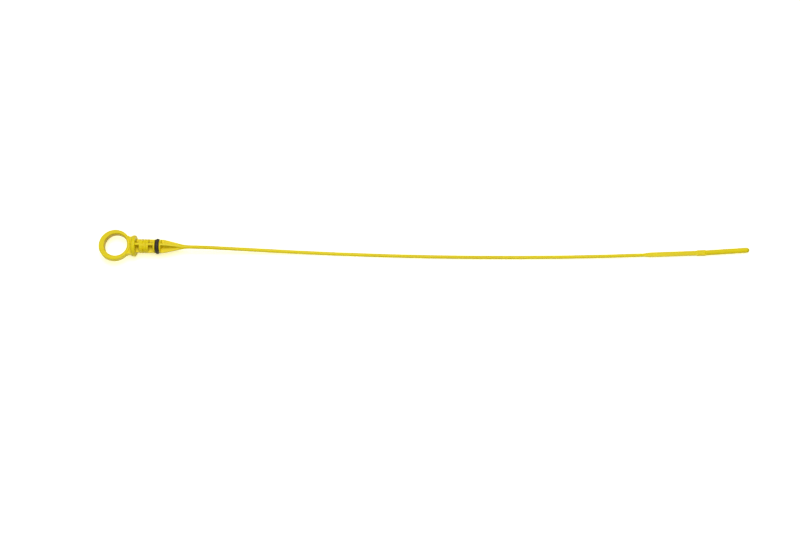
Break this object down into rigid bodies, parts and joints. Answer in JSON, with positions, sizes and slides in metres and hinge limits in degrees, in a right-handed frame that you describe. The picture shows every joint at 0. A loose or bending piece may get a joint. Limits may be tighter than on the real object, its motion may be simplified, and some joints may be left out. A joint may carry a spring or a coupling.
{
  "type": "engine oil dipstick",
  "caption": "Long slender moulded oil dipstick with a finger ring, a collar, a ribbed plug with a rubber seal, and a flattened reading blade before its round end.",
  "frame": {"origin": "centre of the collar's seat, the flat face that stops on the mouth of the guide tube, on the plug's axis", "axes": "+X along the plug's axis from the collar towards the tip; +Z square to the finger ring's plane, up as the dipstick lies; +Y sideways"},
  "size_m": [0.6522, 0.0316, 0.0214],
  "materials": {
    "yellow_plastic": "injection moulded, satin gloss",
    "black_rubber": "smooth moulded rubber"
  },
  "bodies": {
    "root": {"dipstick_body": "yellow_plastic", "sealing_ring": "black_rubber"}
  },
  "joints": []
}
